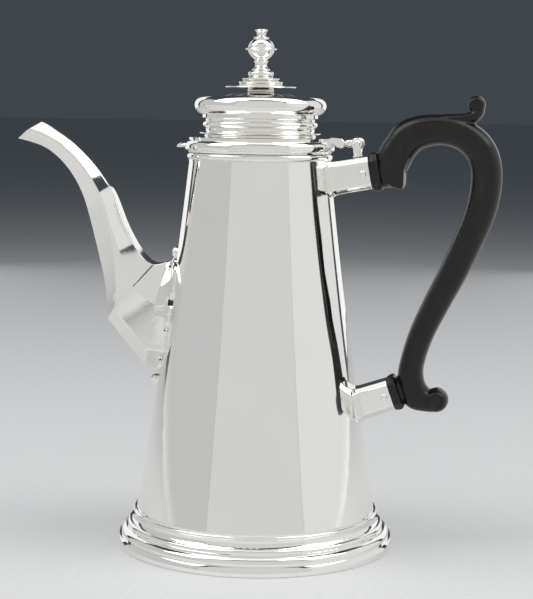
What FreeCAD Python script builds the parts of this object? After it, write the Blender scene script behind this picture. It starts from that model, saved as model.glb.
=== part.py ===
import FreeCAD, Part
import math
import os
import re

import Sketcher
from FreeCAD import Placement, Rotation, Vector

# A tapered silver coffee pot with a faceted spout, an ebony scroll handle and a hinged, domed lid.
# Frame: origin at the centre of the foot on the table, +Z up, handle towards +X, spout towards -X.
# Every profile is written as (across, up) corners; all lengths are in millimetres.

DOC = FreeCAD.newDocument("coffee_pot")
SHEET = DOC.addObject("Spreadsheet::Sheet", "Sizes")

# ---------------------------------------------------------------- driving dimensions

SIZES = {
    # body: a tapered tube, drawn in slightly between its two ends
    "wall": 1.0,
    "body_foot_radius": 50.8,
    "body_top_radius": 29.7,
    "body_low": 15.4,
    "body_top": 162.4,
    "body_span": 3.6,
    "floor_thick": 1.2,
    "floor_gap": 0.25,
    "strainer_hole": 3.0,
    "strainer_pitch": 6.0,
    "strainer_height": 96.0,
    # foot
    "foot_radius": 59.0,
    "foot_band_width": 2.4,
    "foot_band_height": 3.9,
    "foot_shell": 1.6,
    # rim of the body
    "rim_radius": 30.2,
    "rim_top": 165.75,
    # lid
    "lid_low": 165.9,
    "flange_radius": 31.5,
    "flange_top": 172.1,
    "flange_thick": 1.2,
    "flange_bore": 21.6,
    "neck_radius": 22.6,
    "neck_top": 181.6,
    "dome_seat_radius": 24.5,
    "dome_radius": 27.7,
    "dome_waist": 185.7,
    "dome_crown": 191.3,
    "dome_skin": 1.0,
    "bezel_radius": 27.8,
    "bezel_depth": 4.4,
    "bezel_thick": 0.9,
    "bezel_taper": 0.5,
    "bezel_gap": 0.03,
    "tab_reach": 35.8,
    "tab_width": 9.0,
    # finial
    "plate_radius": 14.6,
    "plate_top": 197.5,
    "knop_radius": 6.4,
    "knop_height": 208.8,
    "finial_top": 217.3,
    "stud_radius": 1.5,
    "stud_play": 0.05,
    "stud_end": 184.6,
    "nut_flat": 5.6,
    "nut_height": 2.6,
    "nut_gap": 0.05,
    "washer_radius": 4.4,
    "washer_thick": 0.8,
    # hinge
    "pin_across": 41.2,
    "pin_height": 170.4,
    "pin_radius": 0.9,
    "pin_play": 0.06,
    "knuckle_radius": 2.15,
    "knuckle_width": 4.1,
    "fork_slot": 4.4,
    "fork_width": 8.4,
    "stem_width": 5.0,
    # handle sockets and pins
    "socket_wall": 1.1,
    "socket_play": 0.15,
    "socket_width": 13.6,
    "socket_flare": 1.2,
    "upper_socket_across": 46.7,
    "upper_socket_height": 158.55,
    "upper_socket_lean": 79.8,
    "upper_socket_deep": 13.5,
    "upper_socket_long": 20.0,
    "lower_socket_across": 57.4,
    "lower_socket_height": 66.2,
    "lower_socket_lean": 70.2,
    "lower_socket_deep": 13.0,
    "lower_socket_long": 18.0,
    "collar_thick": 1.3,
    "collar_wide": 19.0,
    "collar_tall": 15.6,
    "tenon_long": 10.5,
    "handle_pin_radius": 0.85,
    "handle_pin_head": 1.4,
    "handle_pin_inset": 2.6,
    "pin_fit": 0.02,
    "pin_head_gap": 0.05,
    "upper_shoulder_long": 6.0,
    "upper_shoulder_bulge": 2.4,
    "lower_shoulder_long": 5.0,
    "lower_shoulder_bulge": 1.6,
    "shoulder_gap": 0.05,
    # thumb scroll and lower scroll of the handle
    "thumb_across": 89.3,
    "thumb_height": 187.0,
    "thumb_radius": 3.8,
    "thumb_width": 9.0,
    "curl_across": 76.2,
    "curl_height": 64.2,
    "curl_radius": 5.2,
    "curl_width": 12.0,
    # spout
    "spout_wall": 1.1,
    "facet": 0.5,
    "plate_thick": 1.5,
    "plate_half_width": 15.0,
    "plate_low": 70.0,
    "plate_high": 125.0,
    "drop_across": 42.2,
    "drop_low": 60.4,
    "drop_high": 70.0,
    "drop_width": 6.4,
}

# Sections of the spout from its base to its mouth: across, height, lean of the section's
# axis from the vertical, depth in the side view and width seen from the front.
SPOUT_STATIONS = [
    (-53.8, 105.4, 47.0, 32.5, 25.0),
    (-57.3, 115.4, 27.3, 19.6, 21.0),
    (-62.2, 127.1, 21.5, 15.7, 17.0),
    (-67.6, 142.9, 20.0, 13.6, 14.4),
    (-72.9, 153.0, 32.5, 11.3, 12.4),
    (-80.7, 162.7, 44.6, 9.5, 11.0),
    (-88.9, 169.3, 53.0, 8.9, 10.6),
    (-94.2, 172.2, 48.7, 9.9, 11.2),
    (-99.5, 173.8, 34.7, 13.0, 12.6),
]
SPOUT_BASE = (-35.5, 97.4, 80.0, 53.0, 31.0)

# Sections of the handle's scroll from the upper socket round to the lower one, same columns.
HANDLE_STATIONS = [
    (51.6, 159.5, -79.8, 14.6, 14.6),
    (56.3, 162.6, -65.0, 19.4, 15.2),
    (57.4, 166.9, -64.0, 16.4, 15.6),
    (60.2, 171.0, -72.0, 15.0, 15.8),
    (65.5, 174.5, -80.0, 13.6, 16.0),
    (75.5, 176.7, -91.0, 12.6, 16.2),
    (84.6, 174.7, -114.0, 12.6, 16.2),
    (91.2, 169.6, -139.0, 12.8, 16.2),
    (94.2, 161.8, -168.0, 12.8, 16.0),
    (94.1, 151.8, -184.0, 12.7, 15.6),
    (91.4, 140.6, -199.0, 12.4, 15.2),
    (86.6, 128.4, -205.0, 12.0, 14.8),
    (75.5, 105.3, -205.0, 11.0, 14.0),
    (69.3, 91.6, -202.0, 10.3, 13.6),
    (65.7, 79.6, -190.0, 9.9, 13.4),
    (65.6, 70.0, -176.0, 10.6, 13.0),
]
STATION_COLUMNS = ["across", "height", "lean", "deep", "wide"]


def add_stations(name, stations):
    for number, station in enumerate(stations):
        for column, size in zip(STATION_COLUMNS, station):
            SIZES["%s_%s_%s" % (name, column, chr(ord("a") + number))] = size


add_stations("spout", SPOUT_STATIONS)
add_stations("spout_base", [SPOUT_BASE])
add_stations("scroll", HANDLE_STATIONS)

for row, (alias, size) in enumerate(SIZES.items(), start=1):
    SHEET.set("A%d" % row, alias)
    SHEET.set("B%d" % row, str(size))
    SHEET.setAlias("B%d" % row, alias)
DOC.recompute()

# ---------------------------------------------------------------- helpers


def bound(expression):
    """Write an expression of the sheet's aliases as other objects of the document read it."""
    return re.sub(r"[a-z_]{3,}(?![a-z_(])", lambda word: "Sizes." + word.group(0)
                  if word.group(0) in SIZES else word.group(0), str(expression))


def value(expression):
    """Work out the number that an expression of the sheet's aliases stands for."""
    return float(SHEET.evalExpression(str(expression)))


def new_body(label):
    body = DOC.addObject("PartDesign::Body", label)
    body.Label = label
    body.Placement = Placement()
    return body


def origin_plane(body, role):
    return next(plane for plane in body.Origin.OriginFeatures if plane.Role == role)


def new_sketch(body, name, role="XZ_Plane", offset=None):
    """Attach a sketch to one of the body's own origin planes; offset is (x, y, z, lean)."""
    sketch = body.newObject("Sketcher::SketchObject", name)
    sketch.AttachmentSupport = [(origin_plane(body, role), "")]
    sketch.MapMode = "FlatFace"
    if offset:
        across, sideways, height, lean = offset
        sketch.AttachmentOffset = Placement(
            Vector(value(across), value(sideways), value(height)),
            Rotation(Vector(0, 1, 0), value(lean)))
        for axis, expression in zip("xyz", (across, sideways, height)):
            sketch.setExpression(".AttachmentOffset.Base." + axis, bound(expression))
        sketch.setExpression(".AttachmentOffset.Rotation.Angle", bound(lean))
    return sketch


def arc_between(start, end, span):
    """An anticlockwise arc of a span in degrees; a negative span bulges to the other side."""
    flipped = span < 0
    first, last = (end, start) if flipped else (start, end)
    half = math.radians(abs(span)) / 2
    chord = last - first
    radius = chord.Length / 2 / math.sin(half)
    middle = (first + last) * 0.5
    normal = Vector(-chord.y, chord.x, 0).normalize()
    centre = middle + normal * (radius * math.cos(half))
    begin = math.atan2(first.y - centre.y, first.x - centre.x)
    circle = Part.Circle(centre, Vector(0, 0, 1), radius)
    return Part.ArcOfCircle(circle, begin, begin + 2 * half), flipped


def draw(sketch, corners):
    """Draw a closed outline through (across, up) or (across, up, span of the arc to it)."""
    first_edge = sketch.GeometryCount
    points = [Vector(value(corner[0]), value(corner[1]), 0) for corner in corners]
    shapes, ends, constraints, expressions = [], [], [], []
    for index, point in enumerate(points):
        following = (index + 1) % len(points)
        span = corners[following][2] if len(corners[following]) > 2 else 0
        if value(span):
            arc, flipped = arc_between(point, points[following], value(span))
            shapes.append(arc)
            ends.append((2, 1) if flipped else (1, 2))
        else:
            shapes.append(Part.LineSegment(point, points[following]))
            ends.append((1, 2))
    sketch.addGeometry(shapes, False)
    for index, point in enumerate(points):
        edge = first_edge + index
        following = first_edge + (index + 1) % len(points)
        start, end = ends[index]
        constraints.append(Sketcher.Constraint("Coincident", edge, end, following,
                                               ends[(index + 1) % len(points)][0]))
        expressions.append(None)
        for kind, axis, size, expression in (("DistanceX", -2, point.x, corners[index][0]),
                                             ("DistanceY", -1, point.y, corners[index][1])):
            if abs(size) < 1e-9:
                constraints.append(Sketcher.Constraint("PointOnObject", edge, start, axis))
                expressions.append(None)
            else:
                constraints.append(Sketcher.Constraint(kind, -1, 1, edge, start, size))
                expressions.append(bound(expression))
        next_corner = corners[(index + 1) % len(points)]
        if len(next_corner) > 2 and value(next_corner[2]):
            span = value(next_corner[2])
            constraints.append(Sketcher.Constraint("Angle", edge, math.radians(abs(span))))
            expressions.append("abs(%s) * 1deg" % bound(next_corner[2]))
    added = sketch.addConstraint(constraints)
    for number, expression in zip(added, expressions):
        if expression:
            sketch.setExpression("Constraints[%d]" % number, expression)
    return sketch


def draw_circle(sketch, across, up, radius):
    edge = sketch.addGeometry(Part.Circle(Vector(value(across), value(up), 0),
                                          Vector(0, 0, 1), value(radius)), False)
    for kind, axis, expression in (("DistanceX", -2, across), ("DistanceY", -1, up)):
        if abs(value(expression)) < 1e-9:
            sketch.addConstraint(Sketcher.Constraint("PointOnObject", edge, 3, axis))
        else:
            number = sketch.addConstraint(
                Sketcher.Constraint(kind, -1, 1, edge, 3, value(expression)))
            sketch.setExpression("Constraints[%d]" % number, bound(expression))
    number = sketch.addConstraint(Sketcher.Constraint("Radius", edge, value(radius)))
    sketch.setExpression("Constraints[%d]" % number, bound(radius))
    return sketch


def turn(body, name, corners, cut=False):
    """Revolve an outline about the pot's axis, or take the ring that it sweeps away."""
    sketch = draw(new_sketch(body, name + "_profile"), corners)
    kind = "PartDesign::Groove" if cut else "PartDesign::Revolution"
    feature = body.newObject(kind, name)
    feature.Profile = sketch
    feature.ReferenceAxis = (sketch, ["V_Axis"])
    feature.Angle = 360
    return feature


def pad(body, sketch, name, length):
    """Pad a sketch by half of its length to each side of its plane."""
    feature = body.newObject("PartDesign::Pad", name)
    feature.Profile = sketch
    feature.Midplane = True
    feature.setExpression("Length", bound(length))
    return feature


def pocket(body, sketch, name, length):
    """Cut a sketch's outline away to half of a length on each side of its plane."""
    DOC.recompute()
    before = body.Shape.Volume
    feature = body.newObject("PartDesign::Pocket", name)
    feature.Profile = sketch
    feature.Midplane = True
    feature.setExpression("Length", bound(length))
    DOC.recompute()
    if body.Shape.Volume > before - 1e-3:
        raise RuntimeError(name + " cuts nothing")
    return feature


def octagon(deep, wide, facet="facet"):
    """Corners of an octagon, deep across and wide up, whose flats are a fraction facet long."""
    half_deep, half_wide = "(%s) / 2" % deep, "(%s) / 2" % wide
    flat_deep, flat_wide = "%s * %s" % (half_deep, facet), "%s * %s" % (half_wide, facet)
    pairs = [(half_deep, flat_wide), (flat_deep, half_wide)]
    corners = []
    for (across, up), (sign_across, sign_up) in zip(
            [pairs[0], pairs[1], pairs[1], pairs[0], pairs[0], pairs[1], pairs[1], pairs[0]],
            [(1, 1), (1, 1), (-1, 1), (-1, 1), (-1, -1), (-1, -1), (1, -1), (1, -1)]):
        corners.append(("%d * %s" % (sign_across, across), "%d * %s" % (sign_up, up)))
    return corners


def lens(deep, wide):
    """Corners of a rounded section, made of four arcs that meet in faint ridges."""
    half_deep, half_wide = "(%s) / 2" % deep, "(%s) / 2" % wide
    return [(half_deep, "0", 84), ("0", half_wide, 84),
            ("-1 * " + half_deep, "0", 84), ("0", "-1 * " + half_wide, 84)]


def loft(body, name, sections, cut=False, ruled=False):
    """Loft through sketches in order; ruled lofts keep their creases."""
    feature = body.newObject("PartDesign::SubtractiveLoft" if cut else "PartDesign::AdditiveLoft",
                             name)
    feature.Profile = sections[0]
    feature.Sections = sections[1:]
    feature.Ruled = ruled
    return feature


def station_sketch(body, name, prefix, letter, section, inset="0"):
    """A section drawn square to its axis at one of the sheet's stations."""
    across, height, lean, deep, wide = [
        "%s_%s_%s" % (prefix, column, letter) for column in STATION_COLUMNS]
    sketch = new_sketch(body, name, "XY_Plane", (across, "0", height, "-1 * " + lean))
    return draw(sketch, section("%s - 2 * (%s)" % (deep, inset), "%s - 2 * (%s)" % (wide, inset)))


def letters(stations):
    return [chr(ord("a") + number) for number in range(len(stations))]


def body_skin(offset="0"):
    """The region inside the body's outer surface moved out by an offset."""
    return [("0", "body_low"), ("body_foot_radius + %s" % offset, "body_low"),
            ("body_top_radius + %s" % offset, "body_top", "-1 * body_span"), ("0", "body_top")]


def beyond_skin(offset):
    """The region outside the body's outer surface moved out by an offset."""
    far = "2 * foot_radius"
    return [("body_foot_radius + %s" % offset, "body_low"),
            ("body_top_radius + %s" % offset, "body_top", "-1 * body_span"),
            (far, "body_top"), (far, "body_low")]


# ---------------------------------------------------------------- body and foot


def make_body_wall():
    body = new_body("body_wall")
    turn(body, "Wall", [
        ("body_foot_radius - wall", "body_low", "body_span"),
        ("body_foot_radius", "body_low"),
        ("body_top_radius", "body_top", "-1 * body_span"),
        ("body_top_radius - wall", "body_top")])
    strainer(body)


def strainer(body):
    """Drill the strainer behind the spout: a ring of six holes round one, and a ring of twelve."""
    sketch = new_sketch(body, "Strainer_holes", "YZ_Plane")
    for ring, count in ((0, 1), (1, 6), (2, 12)):
        for number in range(count):
            angle = math.radians(360 / count * number)
            draw_circle(sketch,
                        "strainer_pitch * %.6f" % (ring * math.sin(angle)),
                        "strainer_height + strainer_pitch * %.6f" % (ring * math.cos(angle)),
                        "strainer_hole / 2")
    DOC.recompute()
    before = body.Shape.Volume
    feature = body.newObject("PartDesign::Pocket", "Strainer")
    feature.Profile = sketch
    feature.setExpression("Length", bound("foot_radius"))
    DOC.recompute()
    if body.Shape.Volume > before - 1e-3 or body.Shape.CenterOfGravity.x < 0:
        raise RuntimeError("the strainer is on the wrong side")


def make_body_floor():
    body = new_body("body_floor")
    turn(body, "Disc", [
        ("0", "body_low - floor_thick"),
        ("body_foot_radius - wall - floor_gap", "body_low - floor_thick"),
        ("body_foot_radius - wall - floor_gap", "body_low"),
        ("0", "body_low"),
    ])


def make_foot_moulding():
    """Stepped ring, hollow beneath: a torus, a cove and an ovolo under a fine fillet."""
    body = new_body("foot_moulding")
    inner = "foot_radius - foot_band_width"
    turn(body, "Steps", [
        (inner + " - foot_shell", "0"),
        (inner, "0"),
        (inner, "foot_band_height"),
        ("foot_radius - 1.7", "foot_band_height"),
        ("foot_radius - 1.7", "foot_band_height + 0.7"),
        ("foot_radius - 4.0", "foot_band_height + 3.4", 85),
        ("foot_radius - 4.5", "foot_band_height + 3.4"),
        ("foot_radius - 4.6", "foot_band_height + 3.9"),
        ("foot_radius - 5.6", "foot_band_height + 6", 110),
        ("foot_radius - 6.2", "foot_band_height + 6"),
        ("foot_radius - 7.3", "foot_band_height + 8.7", -60),
        ("foot_radius - 7.3", "foot_band_height + 9.2"),
        ("foot_radius - 7.4", "foot_band_height + 10.6", 130),
        ("foot_radius - 7.6", "foot_band_height + 10.6"),
        ("foot_radius - 7.6", "body_low"),
        ("body_foot_radius - wall - 0.2", "body_low"),
        ("body_foot_radius - wall - 0.2", "body_low - floor_thick"),
        ("body_foot_radius - wall - 1.4", "body_low - floor_thick"),
        ("body_foot_radius - wall - 1.4", "body_low - floor_thick - 1.2"),
        ("foot_radius - 8.6", "foot_band_height + 6.7"),
        ("foot_radius - 6.2", "foot_band_height + 2.5"),
        (inner + " - foot_shell", "foot_band_height - 0.3"),
    ])


def make_foot_rim_band():
    body = new_body("foot_rim_band")
    turn(body, "Band", [
        ("foot_radius - foot_band_width", "0"),
        ("foot_radius - 0.2", "0"),
        ("foot_radius", "0.4", 60),
        ("foot_radius - 0.9", "foot_band_height", 55),
        ("foot_radius - foot_band_width", "foot_band_height"),
    ])


def make_rim_moulding():
    """Ring soldered on the open end of the body, a bead above a fine fillet."""
    body = new_body("body_rim_moulding")
    turn(body, "Bead", [
        ("body_top_radius - wall", "body_top"),
        ("rim_radius - 0.25", "body_top"),
        ("rim_radius - 0.25", "body_top + 0.45"),
        ("rim_radius - 0.5", "body_top + 0.55"),
        ("rim_radius - 0.6", "rim_top", 140),
        ("body_top_radius - wall", "rim_top"),
    ])


# ---------------------------------------------------------------- spout


def make_spout():
    """Hollow faceted horn with a sharp chin, a drawn-out neck and a flared, pointed mouth."""
    body = new_body("spout")
    for name, inset, cut in (("Horn", "0", False), ("Bore", "spout_wall", True)):
        sections = [station_sketch(body, name + "_root", "spout_base", "a", octagon, inset)]
        for letter in letters(SPOUT_STATIONS):
            sections.append(
                station_sketch(body, name + "_" + letter, "spout", letter, octagon, inset))
        loft(body, name, sections, cut=cut, ruled=True)
    turn(body, "Seat", body_skin("plate_thick"), cut=True)


def conformal_plate(body, name, corners, thick):
    """A plate of even thickness that lies on the body, cut to an outline seen along X."""
    sketch = draw(new_sketch(body, name + "_outline", "YZ_Plane"), corners)
    feature = body.newObject("PartDesign::Pad", name)
    feature.Profile = sketch
    feature.setExpression("Length", bound("foot_radius"))
    turn(body, name + "_inside", body_skin(), cut=True)
    turn(body, name + "_outside", beyond_skin(thick), cut=True)
    return feature


def both_sides(right):
    """Close an outline whose first corner lies on the axis by mirroring its other corners."""
    left = []
    for index in range(len(right) - 1, 0, -1):
        span = right[index + 1][2:] if index + 1 < len(right) else ()
        left.append(("-1 * (%s)" % right[index][0], right[index][1]) + span)
    return [right[0] + right[1][2:]] + right[1:] + left


def make_spout_plate():
    """Scalloped plate under the root of the spout, symmetrical about the side plane."""
    body = new_body("spout_plate")
    half = "plate_half_width"
    right = [
        ("0", "plate_high"), ("3.2", "plate_high - 2.5", -110), ("3.6", "plate_high - 5"),
        (half + " * 0.62", "plate_high - 6.5", -70), (half + " * 0.7", "plate_high - 12"),
        (half, "plate_high - 17", -90), (half, "plate_high - 27", -60),
        (half + " * 0.8", "plate_high - 30"), (half + " * 0.62", "plate_high - 41", -80),
        (half + " * 0.5", "plate_high - 44"), (half + " * 0.3", "plate_low", -80),
    ]
    feature = conformal_plate(body, "Plate", both_sides(right), "plate_thick")
    feature.Reversed = True
    sketch = draw(new_sketch(body, "Flow", "YZ_Plane"), [
        ("-5", "plate_low + 10"), ("5", "plate_low + 10"), ("10", "strainer_height"),
        ("6", "plate_high - 10"), ("-6", "plate_high - 10"), ("-10", "strainer_height")])
    pocket(body, sketch, "Flow_cut", "2 * foot_radius")


def make_spout_drop():
    """Pendant drop on the body below the plate."""
    body = new_body("spout_drop")
    top = new_sketch(body, "Top", "XY_Plane", ("-1 * drop_across", "0", "drop_high - 0.05", "0"))
    draw(top, lens("drop_width * 1.4", "drop_width"))
    middle = new_sketch(body, "Middle", "XY_Plane", ("-1 * drop_across - 0.7", "0", "drop_high - 4", "0"))
    draw(middle, lens("drop_width", "drop_width * 0.8"))
    tip = new_sketch(body, "Tip", "XY_Plane", ("-1 * drop_across - 1.4", "0", "drop_low", "0"))
    draw(tip, lens("1.2", "1.0"))
    loft(body, "Drop", [top, middle, tip])
    turn(body, "Drop_seat", body_skin(), cut=True)


# ---------------------------------------------------------------- handle sockets


def along_socket(which, distance):
    """Where a point lies on a socket's axis, a distance outwards from its open end."""
    lean = "%s_socket_lean" % which
    return ("%s_socket_across + (%s) * sin(%s * 1deg)" % (which, distance, lean),
            "%s_socket_height + (%s) * cos(%s * 1deg)" % (which, distance, lean))


def socket_sketch(body, name, which, distance, corners):
    """A section square to a socket's axis, a distance outwards from its open end."""
    across, height = along_socket(which, distance)
    return draw(new_sketch(body, name, "XY_Plane", (across, "0", height, "%s_socket_lean" % which)),
                corners)


def socket_hole(body, which, radius, name="Pin_hole"):
    across, height = along_socket(which, "-1 * handle_pin_inset")
    sketch = draw_circle(new_sketch(body, name + "_centre"), across, height, radius)
    pocket(body, sketch, name, "4 * socket_width")


def socket_seat():
    """The region that a socket may not enter: the body, its soldered plate and the rim above."""
    return body_skin("collar_thick")[:3] + [
        ("rim_radius + 0.1", "body_top"), ("rim_radius + 0.1", "rim_top + 6"), ("0", "rim_top + 6")]


def make_socket(which):
    """Faceted tube that rises outwards from the body and takes the handle's tenon."""
    body = new_body(which + "_socket")
    deep = which + "_socket_deep"
    inner = "-1 * %s_socket_long" % which
    loft(body, "Tube", [
        socket_sketch(body, "Mouth", which, "0", octagon(deep, "socket_width")),
        socket_sketch(body, "Root", which, inner,
                      octagon(deep + " + socket_flare", "socket_width + socket_flare")),
    ], ruled=True)
    bore = socket_sketch(body, "Bore_section", which, "0", octagon(
        deep + " - 2 * socket_wall", "socket_width - 2 * socket_wall"))
    pocket(body, bore, "Bore", "2 * (tenon_long + 0.3)")
    turn(body, "Seat", socket_seat(), cut=True)
    socket_hole(body, which, "handle_pin_radius + pin_fit")


def make_socket_plate(which, height, tall, wide):
    """Octagonal plate soldered to the body under a socket."""
    body = new_body(which + "_socket_plate")
    corners = [(across, "%s + %s" % (height, up)) for up, across in octagon(tall, wide, "0.6")]
    corners.reverse()
    conformal_plate(body, "Plate", corners, "collar_thick")


# ---------------------------------------------------------------- handle


def make_handle():
    """Ebony scroll with a thumb curl, a lower curl, two shoulders and two tenons."""
    body = new_body("handle")
    sections = [station_sketch(body, "Scroll_" + letter, "scroll", letter, lens)
                for letter in letters(HANDLE_STATIONS)]
    loft(body, "Scroll", sections)
    for which in ("upper", "lower"):
        deep = which + "_socket_deep"
        bulge = which + "_shoulder_bulge"
        loft(body, which.capitalize() + "_shoulder", [
            socket_sketch(body, which + "_shoulder_a", which, "shoulder_gap",
                          octagon(deep + " + 0.6", "socket_width + 0.6")),
            socket_sketch(body, which + "_shoulder_b", which, "1.6",
                          octagon(deep + " + " + bulge, "socket_width + " + bulge)),
            socket_sketch(body, which + "_shoulder_c", which, "3.2",
                          octagon(deep + " + " + bulge, "socket_width + " + bulge)),
            socket_sketch(body, which + "_shoulder_d", which, which + "_shoulder_long",
                          octagon(deep, "socket_width")),
        ], ruled=True)
        bore = "2 * socket_wall + 2 * socket_play"
        loft(body, which.capitalize() + "_tenon", [
            socket_sketch(body, which + "_tenon_end", which, "-1 * tenon_long",
                          octagon("%s - (%s)" % (deep, bore), "socket_width - (%s)" % bore)),
            socket_sketch(body, which + "_tenon_root", which, "1",
                          octagon("%s - (%s)" % (deep, bore), "socket_width - (%s)" % bore)),
        ], ruled=True)
    thumb = draw(new_sketch(body, "Thumb"), [
        ("74", "179"), ("86.5", "177.8"), ("91.2", "180.2", 30),
        ("thumb_across + thumb_radius", "thumb_height", 30),
        ("thumb_across - thumb_radius", "thumb_height", 180),
        ("thumb_across - 2.6", "thumb_height - 3.2", 50), ("74", "181.8", -12)])
    pad(body, thumb, "Thumb_curl", "thumb_width")
    curl = draw(new_sketch(body, "Curl"), [
        ("61.5", "62.0"), ("69", "60.2", 20), ("curl_across", "curl_height - curl_radius", 30),
        ("curl_across", "curl_height + curl_radius", 180),
        ("curl_across - 2.6", "curl_height + 2.8", 40), ("69.5", "74", -40), ("63", "74")])
    pad(body, curl, "Lower_curl", "curl_width")
    socket_hole(body, "upper", "handle_pin_radius + pin_fit", "Upper_pin_hole")
    socket_hole(body, "lower", "handle_pin_radius + pin_fit", "Lower_pin_hole")


def make_cross_pin(label, across, height, radius, grip, head):
    """Pin that lies along Y, with a domed head at each side of what it grips."""
    body = new_body(label)
    half, crown, tip = "(%s) / 2" % grip, "(%s) * 0.4" % head, "(%s) * 0.25" % head
    turn(body, "Pin", [
        ("0", "-1 * (%s + %s)" % (half, crown)),
        (tip, "-1 * (%s + %s)" % (half, crown)),
        (head, "-1 * (%s)" % half, 50),
        (radius, "-1 * (%s)" % half),
        (radius, half),
        (head, half),
        (tip, "%s + %s" % (half, crown), 50),
        ("0", "%s + %s" % (half, crown))])
    body.Placement = Placement(Vector(value(across), 0, value(height)), Rotation(Vector(1, 0, 0), 90))
    body.setExpression(".Placement.Base.x", bound(across))
    body.setExpression(".Placement.Base.z", bound(height))


def make_handle_pin(which):
    across, height = along_socket(which, "-1 * handle_pin_inset")
    grip = "socket_width + socket_flare * handle_pin_inset / %s_socket_long + 2 * pin_head_gap" % which
    make_cross_pin("handle_pin_" + which, across, height, "handle_pin_radius", grip,
                   "handle_pin_head")


# ---------------------------------------------------------------- hinge


def make_hinge_post():
    """Fork on top of the upper socket that holds the hinge pin clear of the body."""
    body = new_body("hinge_post")
    lip_across = "upper_socket_across - upper_socket_deep / 2 * cos(upper_socket_lean * 1deg)"
    lip_height = "upper_socket_height + upper_socket_deep / 2 * sin(upper_socket_lean * 1deg)"
    slope = "tan(90deg - upper_socket_lean * 1deg - atan(socket_flare / 2 / upper_socket_long))"

    def on_socket(across):
        return "%s + (%s - (%s)) * %s" % (lip_height, across, lip_across, slope)

    stem = draw(new_sketch(body, "Stem_outline"), [
        ("pin_across - 1.7", on_socket("pin_across - 1.7")),
        ("pin_across + 1.7", on_socket("pin_across + 1.7")),
        ("pin_across + 1.2", "pin_height - 3.6", -30),
        ("pin_across - 1.2", "pin_height - 3.6")])
    pad(body, stem, "Stem", "stem_width")
    fork = draw(new_sketch(body, "Fork_outline"), [
        ("pin_across - 1.2", "pin_height - 3.9"),
        ("pin_across + 1.2", "pin_height - 3.9"),
        ("pin_across + knuckle_radius", "pin_height"),
        ("pin_across - knuckle_radius", "pin_height", 180)])
    pad(body, fork, "Fork", "fork_width")
    slot = draw(new_sketch(body, "Slot_outline"), [
        ("pin_across - 4", "pin_height - knuckle_radius - 0.35"),
        ("pin_across + 4", "pin_height - knuckle_radius - 0.35"),
        ("pin_across + 4", "pin_height + 4"),
        ("pin_across - 4", "pin_height + 4")])
    pocket(body, slot, "Slot", "fork_slot")
    hole = draw_circle(new_sketch(body, "Hole_centre"), "pin_across", "pin_height", "pin_radius")
    pocket(body, hole, "Hole", "2 * fork_width")


def make_hinge_pin():
    """Headed pin, fixed in the fork and a running fit in the lid's knuckle."""
    make_cross_pin("hinge_pin", "pin_across", "pin_height", "pin_radius", "fork_width",
                   "pin_radius + 0.5")


def make_hinge_arm():
    """Arm soldered to the lid's flange: strap, narrow neck, bead and pierced knuckle."""
    body = new_body("lid_hinge_arm")
    strap = draw(new_sketch(body, "Strap_outline"), [
        ("flange_radius - 3.2", "pin_height + 0.6"), ("flange_radius + 1", "pin_height - 2.6"),
        ("flange_radius + 2.6", "pin_height - 3.4"), ("flange_radius + 3.2", "pin_height - 0.8"),
        ("flange_radius + 4.3", "pin_height - 0.6"), ("flange_radius + 4.3", "pin_height + 0.9"),
        ("flange_radius + 1", "pin_height + 2.2", 30), ("flange_radius - 3.2", "pin_height + 1.9")])
    pad(body, strap, "Strap", "2 * knuckle_width")
    neck = draw(new_sketch(body, "Neck_outline"), [
        ("flange_radius + 3.8", "pin_height - 0.7"), ("pin_across - 5", "pin_height - 0.7"),
        ("pin_across - 2.4", "pin_height - 0.9", 80), ("pin_across - 1.2", "pin_height - 0.9"),
        ("pin_across - 1.2", "pin_height + 0.9"), ("pin_across - 2.4", "pin_height + 0.9"),
        ("pin_across - 5", "pin_height + 0.7", 80), ("flange_radius + 3.8", "pin_height + 0.7")])
    pad(body, neck, "Neck", "knuckle_width * 0.8")
    knuckle = draw_circle(new_sketch(body, "Knuckle_outline"), "pin_across", "pin_height",
                          "knuckle_radius")
    pad(body, knuckle, "Knuckle", "knuckle_width")
    bore = draw_circle(new_sketch(body, "Bore_outline"), "pin_across", "pin_height",
                       "pin_radius + pin_play")
    pocket(body, bore, "Bore", "2 * knuckle_width")
    turn(body, "Flange_seat", flange_skin(), cut=True)


# ---------------------------------------------------------------- lid


def flange_edge():
    """Outer moulding of the lid's flange from its lower edge up to its top step."""
    return [
        ("flange_radius - 1.4", "lid_low"),
        ("flange_radius - 1.2", "lid_low + 0.5"),
        ("flange_radius - 0.2", "lid_low + 1.2", -70),
        ("flange_radius - 1.9", "lid_low + 5.1", 88),
        ("flange_radius - 1.9", "lid_low + 5.3"),
        ("flange_radius - 1.7", "lid_low + 5.4"),
        ("flange_radius - 1.7", "flange_top"),
    ]


def flange_skin():
    return [("0", "lid_low")] + flange_edge() + [("0", "flange_top")]


def make_lid_flange():
    body = new_body("lid_flange")
    turn(body, "Moulding", flange_edge() + [
        ("flange_bore", "flange_top"),
        ("flange_bore", "flange_top - flange_thick"),
        ("bezel_radius", "flange_top - flange_thick"),
        ("bezel_radius", "lid_low"),
    ])


def make_lid_neck():
    """Stack of turned rings between the flange and the dome."""
    body = new_body("lid_neck")
    turn(body, "Rings", [
        ("neck_radius - 1", "flange_top"),
        ("neck_radius + 0.5", "flange_top"),
        ("neck_radius + 0.5", "flange_top + 1.3", 130),
        ("neck_radius + 2.5", "flange_top + 1.5"),
        ("neck_radius + 2.8", "flange_top + 2.1", 110),
        ("neck_radius + 0.4", "flange_top + 2.7"),
        ("neck_radius + 0.5", "flange_top + 4.2", -60),
        ("neck_radius + 0.6", "flange_top + 6.8", 150),
        ("neck_radius + 0.5", "flange_top + 7.9", -80),
        ("neck_radius + 1.7", "flange_top + 8.2"),
        ("neck_radius + 1.7", "neck_top"),
        ("neck_radius - 1", "neck_top"),
    ])


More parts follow.
